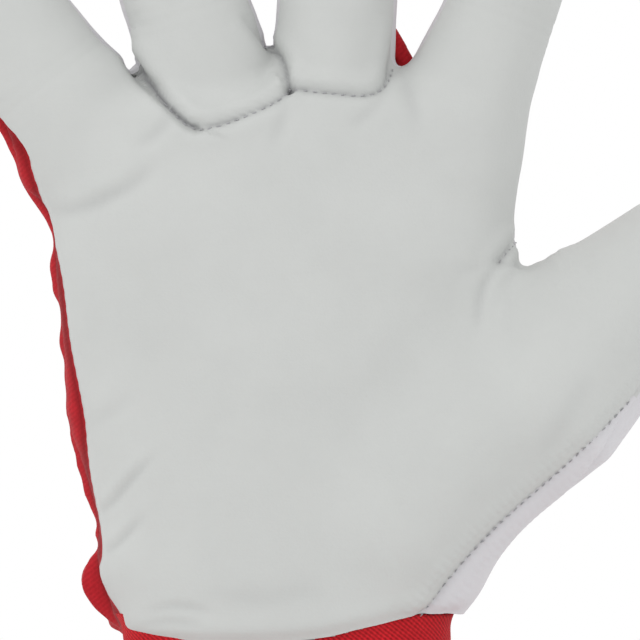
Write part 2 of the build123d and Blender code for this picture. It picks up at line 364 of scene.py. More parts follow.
WING_SEAM = smooth_line([(24, 60), (30.5, 69), (36.5, 76.4), (45.4, 85.6), (56.9, 95.7), (65.3, 103.7),
                         (74, 113), (84, 124)], 2)
RING_BASE = smooth_line([(-35, 187), (-31.5, 179.5), (-28, 175.5), (-24, 171), (-20.5, 167.9),
                         (-16.6, 167.6), (-10.3, 169.6), (-3, 173), (0, 175.5)], 1)
RING_SIDE = smooth_line([(0, 175.5), (-0.6, 178.5), (-2.2, 182.3), (-5, 185.5), (-9, 191)], 1)
MIDDLE_BASE = smooth_line([(0.1, 175.9), (9.7, 174.8), (16, 174.5), (19.3, 175.8), (21, 178.7),
                           (22, 184), (23, 190)], 1)
LITTLE_EDGE = smooth_line([(-34.7, 61.7), (-36.2, 66), (-39.1, 70), (-40.7, 73.7), (-39.6, 80), (-42.2, 94.7),
                           (-43.5, 108), (-46.2, 122), (-48.3, 137), (-51.9, 150), (-54.2, 157.5),
                          (-57.2, 163.5), (-62, 168.8), (-72, 180), (-84, 193)], 2)
WRIST_EDGE = smooth_line([(-52, 62.4), (-44, 62), (-37, 61.4), (-29, 60.4), (-10, 60), (6, 60.9), (14, 62.6),
                          (20, 63.9), (27, 65.4), (40, 66), (50, 66.5)], 2)
WING_BACK = np.array([(18.0, 40), (22, 60), (45, 131), (49.5, 140.5), (90, 156)])
CROTCH, CROTCH_REACH = np.array([50.5, 1.5, 140.3]), 6.3
CROTCH_SEAM = smooth_line([(47.6, 143.4), (45.8, 141.5), (44.2, 139.4)], 1)
FOLDS = [  # points, depth, half width, share of the depth that stands up on the left
    ([(-50.6, 149.9), (-43.9, 150.3), (-34.4, 154.5), (-28, 159.4)], 0.55, 1.7, 0.6),
    ([(-40.5, 86), (-36.5, 89.4), (-33.4, 93.2), (-28, 99)], 0.5, 1.0, 0.7),
    ([(-39.6, 78), (-35.9, 80.4), (-30.5, 86)], 0.5, 1.0, 0.6),
    ([(-44, 104), (-38, 107.5), (-32, 112)], 0.25, 2.2, 0.5),
    ([(44.4, 139.5), (41.6, 135.8), (40, 131.2), (39.3, 125)], 0.5, 1.1, 0.7),
    ([(43.4, 140), (39, 138), (34.5, 137)], 0.15, 1.4, 0.5),
    ([(46.5, 137.5), (46, 131), (45.6, 124)], 0.15, 1.6, 0.5),
    ([(44.6, 139.6), (47, 138.6), (49.4, 139.1)], 0.35, 0.8, 0.3),
    ([(21, 176), (17, 171), (12.5, 167)], 0.35, 1.6, 0.4),
    ([(22.4, 181), (25.5, 174), (27, 167)], 0.45, 1.8, 0.5),
    ([(-24, 170.5), (-28, 166), (-32, 163.5)], 0.45, 1.6, 0.5),
    ([(-0.3, 174.8), (-1.5, 169), (-4, 163)], 0.4, 1.9, 0.5),
    ([(-30, 66), (-24, 67.4), (-16, 66.6)], 0.35, 1.0, 0.5),
    ([(-31, 63.5), (-25, 64.3), (-18, 63.6)], 0.3, 0.9, 0.5),
    ([(-18, 70), (-6, 69), (8, 71)], 0.22, 2.2, 0.4),
    ([(52, 97), (57, 106), (64, 117)], 0.3, 2.6, 0.5),
]
print("wing seam", len(WING_SEAM), "points; folds", len(FOLDS))

# %% [markdown]
# ## Fields that divide the surface
# Every panel is the part of the surface where certain fields are positive: in front of a side seam,
# above a base seam, and so on. A field is one number per vertex, so a boundary can be cut exactly
# where it passes zero, and the leather and cloth edges come out smooth at any grid size.

# %% Fields
STRIP_FRONT, STRIP_BACK = 1.5, 6.0      # how far a strip between fingers reaches forwards and back
STRIP_SHORT = 2.5               # the same behind, at the gap between the middle and index fingers
FACING = {"little": (0, 1), "ring": (1, 1), "middle": (1, 1), "index": (1, 0)}   # left, right
OPEN_SIDE = {"little": 0.0, "index": 2.0}
# Along each limb: where its first piece starts, and where one piece hands over to the next
PARTS = {"little": (0, 20.25, 42.25), "ring": (0, 24, 49.5), "middle": (0, 25, 53), "index": (0, 23.5, 49),
         "thumb": (14, 31.5)}
LIMB_NAMES = list(PARTS)


def ramp(x, start, end):
    t = np.clip((x - start) / (end - start), 0, 1)
    return t * t * (3 - 2 * t)


def fields(points):
    x, y, z = points.T
    xz = points[:, (0, 2)]
    found = {}
    # Positive on the palm's side; the cut edge is never quite straight
    edge = -to_line(xz, LITTLE_EDGE)[1] + 0.05 * np.sin(z * 2.3) * ramp(z, 78, 86)
    near = np.full((len(points), len(LIMB_NAMES)), np.inf)
    for i, name in enumerate(LIMB_NAMES):
        lx, ly, s = local(points, name)
        found[f"{name}_s"] = s
        near[:, i] = limb_distance(points, name)
        if name == "thumb":
            continue
        left, right = FACING[name]
        c = ramp(lx / through(s, LIMBS[name], 1), -0.35, 0.35)
        taper = np.clip((LENGTH[name] - 5 - s) / 16, 0, 1)
        reach = STRIP_BACK * taper
        side = OPEN_SIDE.get(name, 0)
        if name in ("middle", "index"):
            short = STRIP_SHORT + (reach - STRIP_SHORT) * ramp(s, 9, 18)
            reach_left, reach_right = (reach, short) if name == "middle" else (short, reach)
        else:
            reach_left, reach_right = reach, reach
        low = (-STRIP_FRONT * taper if left else side) * (1 - c) + (-STRIP_FRONT * taper if right else side) * c
        high = (reach_left if left else side) * (1 - c) + (reach_right if right else side) * c
        front, back = low - ly, ly - high
        if name == "little":
            # The cloth shows past the leather's edge on this finger's outer side
            front = np.where(lx < 0, np.minimum(front, edge), front)
            back = np.where(lx < 0, -front, back)
        found[f"{name}_front"] = front
        found[f"{name}_back"] = back
    owner = near.argmin(1)
    open_y = 2 * ramp(x, 0, 40) * ramp(z, 135, 150)
    inner = (1 - ramp(np.abs(x + 3), 36, 46)) * ramp(z, 160, 166)
    thumb_y, thumb_s = local(points, "thumb")[1:]
    turned = ramp(thumb_s, -25, 5) * ramp(hand_distance(points) - near[:, LIMB_NAMES.index("thumb")], 1, 10)
    side = (1 - inner) * open_y - inner * STRIP_FRONT - y
    side = side * (1 - turned) - thumb_y * turned
    web = STRIP_FRONT + STRIP_BACK + (STRIP_SHORT - STRIP_BACK) * ramp(x, 8, 14)
    found["front"] = np.where(x < 0, np.minimum(edge, side), side)
    found["back"] = -np.where(x < 0, np.minimum(edge, side), side) - web * inner
    found["wing"] = -to_line(xz, WING_SEAM)[1]
    found["wing_back"] = -to_line(xz, WING_BACK)[1]
    ring_line = np.concatenate([RING_BASE, RING_SIDE[1:]])
    middle_line = np.concatenate([RING_SIDE[:0:-1], MIDDLE_BASE])
    found["ring_piece"] = to_line(xz, ring_line)[1]
    found["middle_piece"] = to_line(xz, middle_line)[1]
    behind = ramp(y, -7, 7)
    hem = 61.5 + 3.9 * ramp(x, 18, 33)
    found["wrist"] = to_line(xz, WRIST_EDGE)[1] * (1 - behind) + (z - hem) * behind
    found["crotch"] = CROTCH_REACH - np.linalg.norm(points - CROTCH, axis=1)
    return found, owner


field, owner = fields(verts)
print({name: round(float(v.min()), 1) for name, v in field.items() if name in ("front", "wing", "wrist")})

# %% [markdown]
# ## Seams pull in and the filling pushes out
# The form is now moved along its own normals: down along every seam and fold, a little up beside
# them, in waves where cloth is gathered, and by slow noise everywhere, since no filled leather is
# perfectly even. Cloth simulation of the whole glove would need minutes; this needs seconds.

# %% Slow noise
def waves(points, size, seed, count=14):
    """Smooth noise from -1 to 1, with bumps of about that size in millimetres."""
    rng = np.random.default_rng(seed)
    direction = unit(rng.normal(size=(count, 3))) * rng.uniform(0.6, 1.5, (count, 1))
    phase = rng.uniform(0, 2 * math.pi, count)
    return np.sin(points @ direction.T * (2 * math.pi / size / 1.7) + phase).sum(1) / math.sqrt(count) / 1.6


def bell(x, width):
    """1 in the middle, falling smoothly to nothing over about twice the width."""
    return np.exp(-((x / width) ** 2))


def seam_shape(signed, depth, width, roll_left, roll_right):
    """A groove with a soft roll on either side."""
    roll = np.where(signed > 0, roll_left, roll_right)
    return -depth * bell(signed, width) + roll * bell(np.abs(signed) - 2.6, 1.7)


print("across a seam", np.round(seam_shape(np.array([-3.0, -1, 0, 1, 3]), 1, 1, 0.3, 0.3), 2).tolist())

# %% Where the surface is leather, cloth or in view
normal = unit(gradient(glove_distance, verts))
x, y, z = verts.T
xz = verts[:, (0, 2)]
seen = ramp(-normal[:, 1], 0.25, 0.6)      # 1 where the surface faces the palm's side
front = ramp(field["front"], -1.0, 1.5)
cloth = ramp(-field["front"], 0.5, 3) * ramp(-field["wing_back"], 0, 2)
# Painted shade: the colour is darkened where this number is high, in the bottoms of folds and seams
fold = np.zeros(len(verts))                # 1 in the bottom of a fold or seam
move = 0.22 * waves(verts, 26, 1) + 0.07 * waves(verts, 8, 2) * front


def report(what):
    """Prints how far the points move after a step, and how long the lesson has taken."""
    print(what, "moves up to", round(float(np.abs(move).max()), 2), "mm; time", round(time.time() - started, 1))


report("slow noise")

# %% Seams of the palm side
_, signed, share = to_line(xz, WING_SEAM)
pucker = 1 + 0.22 * np.sin(share * 320)
move += front * seam_shape(-signed, 0.75, 1.0, 0.32, 0.42) * pucker * ramp(z, 58, 66)
# Painted shade in the bottom of the wing seam, less of it higher up
fold += (0.22 - 0.14 * ramp(z, 84, 100)) * front * bell(signed, 0.5)
low = ramp(200 - z, 6, 14)
# Each base seam is grooved, and its bottom gets painted shade as dark as the last number says
for line, left, right, deep, dark in ((RING_BASE, 0.5, 0.25, 0.8, 0.36), (RING_SIDE, 0.4, 0.4, 1.0, 0.6),
                                      (MIDDLE_BASE, 0.5, 0.25, 0.9, 0.36)):
    r, signed, share = to_line(xz, line)
    inside = (share > 0.001) & (share < 0.999)
    move += front * low * seam_shape(signed, deep, 1.05, left, right) * np.where(inside, 1, bell(r, 2))
    fold += front * ramp(189 - z, 0, 6) * bell(r, 0.5) * dark
# The ring finger's root rolls over its left fold, with painted shade along that fold
r, signed, share = to_line(xz, RING_BASE[7:25])
near_fold = bell(np.maximum(r - np.abs(signed), 0), 2) * low
move += front * near_fold * (-1.0 * bell(signed + 0.3, 1.0) + 0.8 * bell(signed - 3.4, 2.4))
fold += 0.5 * front * near_fold * bell(signed - 0.1, 0.4)
report("with the palm's seams")

# %% Folds and soft creases
# Each fold is grooved, and its bottom gets painted shade
for points_of, depth, width, stand in FOLDS:
    r, signed, share = to_line(xz, smooth_line(points_of, 1))
    fade = np.sin(np.clip(share, 0.02, 0.98) * math.pi) ** 0.6
    move += front * fade * depth * (stand * bell(signed - 2 * width, 1.4 * width) * bell(r, 4 * width)
                                    - bell(r, width))
    fold += 0.25 * front * fade * depth * bell(r, 0.8 * width)
report("with the folds")

# %% The thumb crotch: a short seam, with the leather drawn to it
r, signed, share = to_line(xz, CROTCH_SEAM)
move += front * (-0.8 * bell(r, 1.1) + 0.3 * bell(r - 2.6, 1.6))
# Painted shade in the bottom of the crotch seam
fold += 0.3 * front * bell(r, 0.5)
ball = np.linalg.norm(verts - CROTCH, axis=1)
move += -0.2 * bell(ball - CROTCH_REACH, 0.9) + 0.25 * bell(ball, 4)
move += 1.2 * bell(np.hypot(x - 57, z - 140.5), 3.4) - 1.4 * bell(np.hypot(x - 49.3, z - 139.9), 2.0)
# The index finger's side is drawn a little flatter, down to the crotch
move += -0.6 * ramp(normal[:, 0], 0.3, 0.8) * ramp(x, 28, 34) * ramp(z, 141, 148) * ramp(188 - z, 0, 8)
report("with the thumb crotch")

# %% Lines across the fingers where they bend, and the fingers' side seams
BEND_LINES = {"little": (10, 31, 49), "ring": (11.5, 36.5, 58), "middle": (12, 38, 63),
              "index": (11.5, 36, 57), "thumb": (22, 45)}
for i, name in enumerate(LIMB_NAMES):
    s = field[f"{name}_s"]
    on = ramp(s, 2, 8) * (owner == i)
    for bend in BEND_LINES[name]:
        wave = np.sin((s - bend) * 2.4 + 0.8 * waves(verts, 16, 30 + i)) * bell(s - bend, 4)
        move += on * front * 0.05 * wave - on * front * 0.18 * bell(s - bend, 3)
    move += on * (1 - front) * cloth * 0.25 * waves(verts * (1, 1, 2.2), 14, 50 + i)
for i, name in enumerate(LIMB_NAMES[:4]):
    on = (owner == i) * ramp(field[f"{name}_s"], -4, 2)
    for edge in ("front", "back"):
        move += on * seam_shape(field[f"{name}_{edge}"], 0.55, 0.8, 0.12, 0.12)
thumb = (owner == 4) * ramp(field["thumb_s"], -12, 4)
move += thumb * seam_shape(field["front"], 0.6, 0.9, 0.18, 0.18)
report("with the fingers")

# %% The back cloth stands out on the little finger's side, between the stitches that hold it
PUFF = [(60, 0), (62, 0.1), (64.5, 1.3), (68, 3.2), (72.5, 3.9), (77, 1.5), (79.8, -0.4), (82, 0.5),
        (84.4, 0), (88.4, 0.9), (94, 1.2), (100, 1.4), (108, 1.3), (118, 0.6), (124, 0.9), (128, -0.2),
        (134, 1.2), (140, 1.0), (144, -0.2), (147.5, 1.1), (152, 1.5), (158, 1.2), (164, 0.8),
        (170, 0.2), (180, 0)]       # (height, how far out)
side = ramp(-x, 30, 36) * ramp(y, -14, -8) * (1 - ramp(y, 8, 18)) * ramp(z, 60, 64) * ramp(178 - z, 4, 14)
pucker = np.sin(z * 1.05 + 1.4 * waves(verts, 22, 9)) * ramp(z, 83, 90)
move += side * cloth * (through(z, PUFF, 1) + 0.12 * pucker)
# Painted shade: the cloth is darker beside the leather's edge and in the troughs of its puckers
shade = side * (0.8 * bell(field["front"] + 0.55, 0.5) + 0.2 * cloth * (1 - pucker) * (1 - ramp(y, -4, 4)))
move += -0.7 * bell(field["front"], 1.1) * ramp(-x, 25, 32) * ramp(z, 60, 66)
report("with the side cloth")

# %% Gathers over the elastic at the wrist, and folds that fade up the back
gather = np.sin(x * 1.25 + 1.2 * np.sin(z * 0.13) + 0.9 * waves(verts, 20, 5))
band = bell(np.maximum(np.abs(z - 72) - 9, 0), 5)
behind = cloth * ramp(y, 2, 8)
move += behind * band * (0.75 * gather + 0.25 * np.sin(x * 2.7 + z * 0.2))
move += behind * (-1.3 * bell(z - 80, 1.6) - 1.2 * bell(z - 70, 1.4) + 1.0 * bell(z - 75, 2.6))
move += behind * 1.4 * bell(z - 64.5, 2.2) * ramp(z, 61, 63)
long_fold = np.sin(x * 0.42 + 1.6 * waves(verts, 60, 7)) * bell(np.maximum(z - 84, 0), 22) * ramp(z, 80, 88)
move += cloth * ramp(y, 4, 10) * (1.2 * long_fold + 0.45 * waves(verts * (1, 1, 0.6), 24, 8))
report("with the gathers")

# %% Webs, the heel and the lower edge
# The gaps between the little, ring and middle fingers run down to a narrow point
for web_x, web_z in (-32.2, 181.6), (-3.8, 186.0):
    move += -2.3 * bell(np.hypot(x - web_x, z - web_z), 2.0) * ramp(normal[:, 2], 0.3, 0.9)
# The heel of the thumb is fullest just above the wrist
move += 1.0 * bell(np.hypot(x - 39, z - 70.5), 6.5) * ramp(field["wing"], -2, 5)
# The lower edge of the leather is drawn in over the cuff
move += (0.35 * bell(field["wrist"] - 3.2, 2) - 0.9 * bell(field["wrist"], 1.3)) * seen
# A shallow hollow beside the heel of the hand
move += front * -0.6 * bell(np.hypot(x + 33, z - 69), 6)
# Painted shade of the folds and seams, only where the surface faces the palm's side, and of the side cloth
field["fold"] = np.clip(fold * seen + shade, 0, 1)
moved = verts + normal * move[:, None]
report("all of it")

# %% [markdown]
# ## Cutting the surface into panels
# A panel boundary is cut exactly: each triangle that the boundary crosses is split in three where its
# field passes zero. The alternative, giving whole triangles to one panel or the other, leaves a
# jagged edge. Each point carries its fields, so the new points on the cuts know theirs too.

# %% Exact cuts
names = list(field)
table = np.concatenate([verts, moved, np.stack([field[n] for n in names], 1)], 1)
column = {n: 6 + i for i, n in enumerate(names)}
tri_owner = np.array([np.bincount(row, minlength=5).argmax() for row in owner[tris]])


def cut(table, tris, tags, value, where):
    """Splits the triangles of where that value (one number a point) crosses zero in."""
    value = np.where(np.abs(value) < 1e-5, 1e-5, value)
    up = value[tris] > 0
    crossed = where & (up.any(1) & ~up.all(1))
    t, u = tris[crossed], up[crossed]
    lone = np.where(u.sum(1) == 1, u.argmax(1), (~u).argmax(1))
    roll = (lone[:, None] + np.arange(3)) % 3
    a, b, c = np.take_along_axis(t, roll, 1).T
    edges = np.sort(np.concatenate([np.stack([a, b], 1), np.stack([a, c], 1)]), 1)
    pairs, back = np.unique(edges, axis=0, return_inverse=True)
    back = back.reshape(-1)
    share = value[pairs[:, 0]] / (value[pairs[:, 0]] - value[pairs[:, 1]])
    added = table[pairs[:, 0]] + share[:, None] * (table[pairs[:, 1]] - table[pairs[:, 0]])
    ab, ac = len(table) + back[:len(a)], len(table) + back[len(a):]
    new = np.concatenate([np.stack([a, ab, ac], 1), np.stack([ab, b, c], 1), np.stack([ab, c, ac], 1)])
    kept = ~crossed
    tags = np.concatenate([tags[kept], np.tile(tags[crossed], 3)])
    return np.concatenate([table, added]), np.concatenate([tris[kept], new]), tags


def mean_of(name):
    return table[:, column[name]][tris].mean(1)


def cut_by(name, where, level=0.0):
    global table, tris, tri_owner
    table, tris, tri_owner = cut(table, tris, tri_owner, table[:, column[name]] - level, where)


cut_by("wrist", np.ones(len(tris), bool))
kept = mean_of("wrist") > 0
tris, tri_owner = tris[kept], tri_owner[kept]
for i, name in enumerate(LIMB_NAMES):
    for level in PARTS[name]:
        cut_by(f"{name}_s", tri_owner == i, level)


def part_of():
    """0 for the hand, and 1 upwards for each part along a limb."""
    part = np.zeros(len(tris), int)
    for i, name in enumerate(LIMB_NAMES):
        s = mean_of(f"{name}_s")
        for level in PARTS[name]:
            part += (tri_owner == i) & (s > level)
    return part


for edge in ("front", "back"):
    for i, name in enumerate(LIMB_NAMES[:4]):
        cut_by(f"{name}_{edge}", (part_of() > 0) & (tri_owner == i))
    cut_by(edge, (part_of() == 0) | (tri_owner == 4))
part = part_of()


def side_mean(edge):
    value = mean_of(edge)
    for i, name in enumerate(LIMB_NAMES[:4]):
        value = np.where((part > 0) & (tri_owner == i), mean_of(f"{name}_{edge}"), value)
    return value


for name, edge, reach in (("ring_piece", "front", 150), ("middle_piece", "front", 150), ("wing", "front", 0),
                          ("wing_back", "back", 0), ("crotch", "crotch", 0)):
    ok = (side_mean(edge) > 0) if edge != "crotch" else np.ones(len(tris), bool)
    ok &= table[:, 2][tris].mean(1) > reach
    if name != "wing":
        ok &= (tri_owner == 4) | (part == 0)
    cut_by(name, ok)
    part = part_of()
HAND_SPLIT = 78.0
table = np.concatenate([table, (table[:, 2] - HAND_SPLIT)[:, None]], 1)
column["hand_z"] = table.shape[1] - 1
cut_by("hand_z", part == 0)
part = part_of()
print("after the cuts", len(table), "points", len(tris), "triangles; time", round(time.time() - started, 1))

# %% [markdown]
# ## Naming the panels
# With every boundary cut, the sign of the fields at a triangle's middle says which panel it is in.
# The ring and middle finger fronts are pieces of their own, sewn on at the base, as in a gunn cut;
# the little and index fronts run on from the palm, and the thumb's back runs on from the wing.

# %% Panels
PANELS = ("palm", "ring", "middle", "wing", "back", "strip", "crotch")
front_side, back_side = side_mean("front") > 0, side_mean("back") > 0
thumb_zone = (tri_owner == 4) & (part > 0)
panel = np.full(len(tris), PANELS.index("strip"))
panel[front_side] = PANELS.index("palm")
panel[back_side] = PANELS.index("back")
below_wing = (mean_of("wing") > 0) & ~thumb_zone
panel[front_side & below_wing & ((tri_owner == 4) | (part == 0))] = PANELS.index("wing")
panel[back_side & ((mean_of("wing_back") > 0) & (part == 0) | thumb_zone)] = PANELS.index("wing")
high = table[:, 2][tris].mean(1) > 160
for name in ("ring", "middle"):
    base = (part == 0) & high & (mean_of(f"{name}_piece") > 0)
    finger = (part > 0) & (tri_owner == LIMB_NAMES.index(name))
    panel[front_side & (base | finger)] = PANELS.index(name)
panel[(mean_of("crotch") > 0) & (part == 0)] = PANELS.index("crotch")
print({name: int((panel == i).sum()) for i, name in enumerate(PANELS)})
key = tris + panel[:, None] * len(table)
unique, corner = np.unique(key, return_inverse=True)
corner = corner.reshape(-1, 3)
rest = table[unique % len(table), :3]
outer = table[unique % len(table), 3:6]
# How much painted shade each point carries
point_fold_shade = table[unique % len(table), column["fold"]]
faces = np.cross(outer[corner[:, 1]] - outer[corner[:, 0]], outer[corner[:, 2]] - outer[corner[:, 0]])
normals = np.stack([np.bincount(corner.ravel(), faces[:, i].repeat(3), len(unique)) for i in range(3)], 1)
normals = unit(normals)

# %% [markdown]
# ## Materials
# Each material is built for its real surface, at its real scale: pores and creases of smooth grain
# leather, the steep ribs of a cotton drill, the finer ribs of the cuff's twill. A repeating pattern
# is a wave along one direction of the object's own coordinates, so its pitch is in metres.

# %% Material helpers
def srgb(code):
    """A colour written as in a paint chart, turned into the linear values a shader takes."""
    values = [int(code[i:i + 2], 16) / 255 for i in (1, 3, 5)]
    return (*[v / 12.92 if v <= 0.04045 else ((v + 0.055) / 1.055) ** 2.4 for v in values], 1.0)


def add(tree, kind, links=(), **settings):
    """Adds one node: settings by name for its properties, "in_" and a socket's name for its inputs."""
    node = tree.nodes.new(kind)
    for name, value in settings.items():
        if name.startswith("in_"):
            found = [s for s in node.inputs if s.name == name[3:].replace("_", " ") and s.enabled]
            found[0].default_value = value
        else:
            setattr(node, name, value)
    for source, target in links:
        tree.links.new(source, node.inputs[target])
    return node


def new_material(name, roughness, **values):
    """A material with its shader's own values set, and its tree and shader to add to."""
    material = bpy.data.materials.new(name)
    material.use_nodes = True
    tree = material.node_tree
    shader = tree.nodes["Principled BSDF"]
    shader.inputs["Roughness"].default_value = roughness
    shader.inputs["IOR"].default_value = 1.5
    for key, value in values.items():
        shader.inputs[key.replace("_", " ")].default_value = value
    return material, tree, shader


def mixed(tree, factor, low, high):
    """Goes from one colour to another as the factor goes from 0 to 1."""
    node = add(tree, "ShaderNodeValToRGB", [(factor, "Fac")])
    node.color_ramp.elements[0].color = srgb(low)
    node.color_ramp.elements[1].color = srgb(high)
    return node.outputs["Color"]


print("middle grey is", round(srgb("#808080")[0], 3), "to a shader")

# %% [markdown]
# ## Leather
# The palm and the thumb's side are thin pigskin, left pale grey: nearly smooth, with fine pores and a
# low, even gloss. Its grain could be painted on; noise in the material stays sharp at any distance.

# %% Smooth grain leather
def leather(name, low, high):
    """Grain leather between two colours, with pores, creases, and painted shade in its folds and seams."""
    material, tree, shader = new_material(name, 0.62, Specular_IOR_Level=0.35, Sheen_Weight=0.05)
    place = add(tree, "ShaderNodeTexCoord").outputs["Object"]
    cloud = add(tree, "ShaderNodeTexNoise", [(place, "Vector")], in_Scale=38.0, in_Detail=4.0, in_Roughness=0.6)
    # Painted shade: the colour goes towards grey in the bottom of folds and seams, by the number the mesh
    # carries
    fold = add(tree, "ShaderNodeAttribute", attribute_name="fold").outputs["Fac"]
    fold_shade_mix = add(tree, "ShaderNodeMix", [(fold, "Factor"), (mixed(tree, cloud.outputs["Fac"], low, high), 6)],
                data_type="RGBA")
    fold_shade_mix.inputs[7].default_value = srgb("#6F6F72")
    tree.links.new(fold_shade_mix.outputs[2], shader.inputs["Base Color"])
    # Pores sit about 0.6 mm apart, inside faint creases about 3 mm apart
    pores = add(tree, "ShaderNodeTexVoronoi", [(place, "Vector")], in_Scale=1600.0)
    creases = add(tree, "ShaderNodeTexNoise", [(place, "Vector")], in_Scale=420.0, in_Detail=6.0,
                  in_Roughness=0.65, in_Distortion=0.4)
    both = add(tree, "ShaderNodeMath", [(pores.outputs["Distance"], 0), (creases.outputs["Fac"], 1)],
               operation="ADD")
    # Skin drawn over a hand shows hair-fine lines across it, about 0.5 mm apart
    drawn = add(tree, "ShaderNodeMapping", [(place, "Vector")], in_Scale=(180.0, 180.0, 1900.0))
    lines = add(tree, "ShaderNodeTexNoise", [(drawn.outputs["Vector"], "Vector")], in_Scale=1.0, in_Detail=2.0)
    both = add(tree, "ShaderNodeMath", [(both.outputs["Value"], 0), (lines.outputs["Fac"], 1)], operation="ADD")
    bump = add(tree, "ShaderNodeBump", [(both.outputs["Value"], "Height")], in_Strength=0.14,
               in_Distance=0.00012)
    tree.links.new(bump.outputs["Normal"], shader.inputs["Normal"])
    return material


palm_leather = leather("Smooth grain pigskin, natural grey", "#B8BAB8", "#C5C7C5")
wing_leather = leather("Smooth grain pigskin, cool grey", "#C6C5C8", "#D0CFD2")
print("leathers", [m.name for m in (palm_leather, wing_leather)])


# %% [markdown]
# ## Cloth
# Drill and twill are cotton woven so that the threads step sideways, which shows as slanting ribs.
# Modelling threads would cost millions of faces, so stripes in the material give the ribs.

# %% Woven cotton
def woven(name, low, high, pitch, turn, height, coordinates, sheen, contrast=0.4, dark="#74070F"):
    """Diagonal ribs one pitch apart, under the fuzz of spun cotton, with painted shade in its folds."""
    material, tree, shader = new_material(name, 0.85, Specular_IOR_Level=0.2, Sheen_Weight=sheen,
                                          Sheen_Roughness=0.5)
    place = add(tree, "ShaderNodeTexCoord").outputs[coordinates]
    turned = add(tree, "ShaderNodeMapping", [(place, "Vector")], in_Rotation=turn)
    # A wave texture has a period of 2 pi / 20 at scale 1
    scale = 2 * math.pi / 20 / pitch
    ribs = add(tree, "ShaderNodeTexWave", [(turned.outputs["Vector"], "Vector")], bands_direction="X",
               in_Scale=scale, in_Distortion=0.6, in_Detail=1.0, in_Detail_Scale=1.0)
    fuzz = add(tree, "ShaderNodeTexNoise", [(place, "Vector")], in_Scale=1400.0, in_Detail=3.0)
    worn = add(tree, "ShaderNodeTexNoise", [(place, "Vector")], in_Scale=45.0, in_Detail=3.0)
    picks = add(tree, "ShaderNodeTexWave", [(turned.outputs["Vector"], "Vector")], bands_direction="Y",
                in_Scale=scale * 0.7, in_Distortion=0.8, in_Detail=1.0, in_Detail_Scale=1.0)
    across = add(tree, "ShaderNodeMath", [(picks.outputs["Fac"], 0)], operation="MULTIPLY")
    across.inputs[1].default_value = contrast * 0.3
    fine = add(tree, "ShaderNodeMath", [(fuzz.outputs["Fac"], 0), (across.outputs["Value"], 2)],
               operation="MULTIPLY_ADD")
    fine.inputs[1].default_value = 0.75
    weave = add(tree, "ShaderNodeMath", [(ribs.outputs["Fac"], 0), (fine.outputs["Value"], 2)],
                operation="MULTIPLY_ADD")
    weave.inputs[1].default_value = contrast
    faded = add(tree, "ShaderNodeMath", [(worn.outputs["Fac"], 0)], operation="MULTIPLY_ADD")
    faded.inputs[1].default_value = 0.5
    faded.inputs[2].default_value = 0.25
    shade = add(tree, "ShaderNodeMath", [(weave.outputs["Value"], 0), (faded.outputs["Value"], 1)],
                operation="MULTIPLY")
    # Painted shade: the cloth darkens towards its dark colour in folds and beside the leather's edge, by the
    # number the mesh carries
    fold = add(tree, "ShaderNodeAttribute", attribute_name="fold").outputs["Fac"]
    deep = add(tree, "ShaderNodeMix", [(fold, "Factor"), (mixed(tree, shade.outputs["Value"], low, high), 6)],
               data_type="RGBA")
    deep.inputs[7].default_value = srgb(dark)
    tree.links.new(deep.outputs[2], shader.inputs["Base Color"])
    bump = add(tree, "ShaderNodeBump", [(weave.outputs["Value"], "Height")], in_Strength=0.5,
               in_Distance=height)
    tree.links.new(bump.outputs["Normal"], shader.inputs["Normal"])
    return material


TWILL_TURN = (0, 0, math.radians(-55))
red_drill = woven("Cotton drill, piece dyed red", "#921019", "#E22C38", 0.0009, (0, math.radians(-50), 0),
                  0.0002, "Object", 0.04, contrast=0.25)
red_twill = woven("Cotton twill, piece dyed deep red", "#6A0409", "#EC2832", 0.00078, TWILL_TURN,
                  0.00025, "UV", 0.02, contrast=0.7)
red_lining = woven("Raw side of the red drill", "#A6303A", "#D0606A", 0.0009, (0, math.radians(50), 0),
                   0.00015, "Object", 0.35)
print("cloths", [m.name for m in (red_drill, red_twill, red_lining)])


# %% [markdown]
# ## Thread and elastic
# Sewing thread is spun from short fibres, so it is dull and slightly uneven in colour. The elastic
# is a braid, which the same weave as the cloth shows well enough.

# %% Elastic and thread
def thread_material(name, low, high):
    """Dull spun thread between two colours, with the unevenness of its fibres."""
    material, tree, shader = new_material(name, 0.7, Specular_IOR_Level=0.3, Sheen_Weight=0.2)
    place = add(tree, "ShaderNodeTexCoord").outputs["Object"]
    fibres = add(tree, "ShaderNodeTexNoise", [(place, "Vector")], in_Scale=2500.0, in_Detail=2.0)
    tree.links.new(mixed(tree, fibres.outputs["Fac"], low, high), shader.inputs["Base Color"])
    bump = add(tree, "ShaderNodeBump", [(fibres.outputs["Fac"], "Height")], in_Strength=0.4, in_Distance=0.0001)
    tree.links.new(bump.outputs["Normal"], shader.inputs["Normal"])
    return material


grey_thread = thread_material("Spun polyester thread, grey", "#86868A", "#B2B2B4")
red_thread = thread_material("Spun polyester thread, red", "#8C141C", "#BC2A34")
elastic = woven("Braided elastic tape, white", "#C4C0BA", "#EDEAE4", 0.0012, (0, 0, 0), 0.0003, "Object", 0.1)
print([m.name for m in bpy.data.materials if m.use_nodes][-8:])

# %% [markdown]
# ## Building the pieces
# Each panel is split where its piece meets the next along a limb. A piece gets an inner face one
# leather or cloth thickness inside, and a rim between the two. Its normals come from the whole
# panel, so a split that is not a real seam stays invisible, and a seam keeps its crease.

# %% One object from part of a panel
LEATHER, CLOTH = 1.2, 0.9            # thickness, mm


def in_scene(name, data):
    """A new object with that mesh, light or camera, linked to the scene."""
    made_object = bpy.data.objects.new(name, data)
    bpy.context.scene.collection.objects.link(made_object)
    return made_object


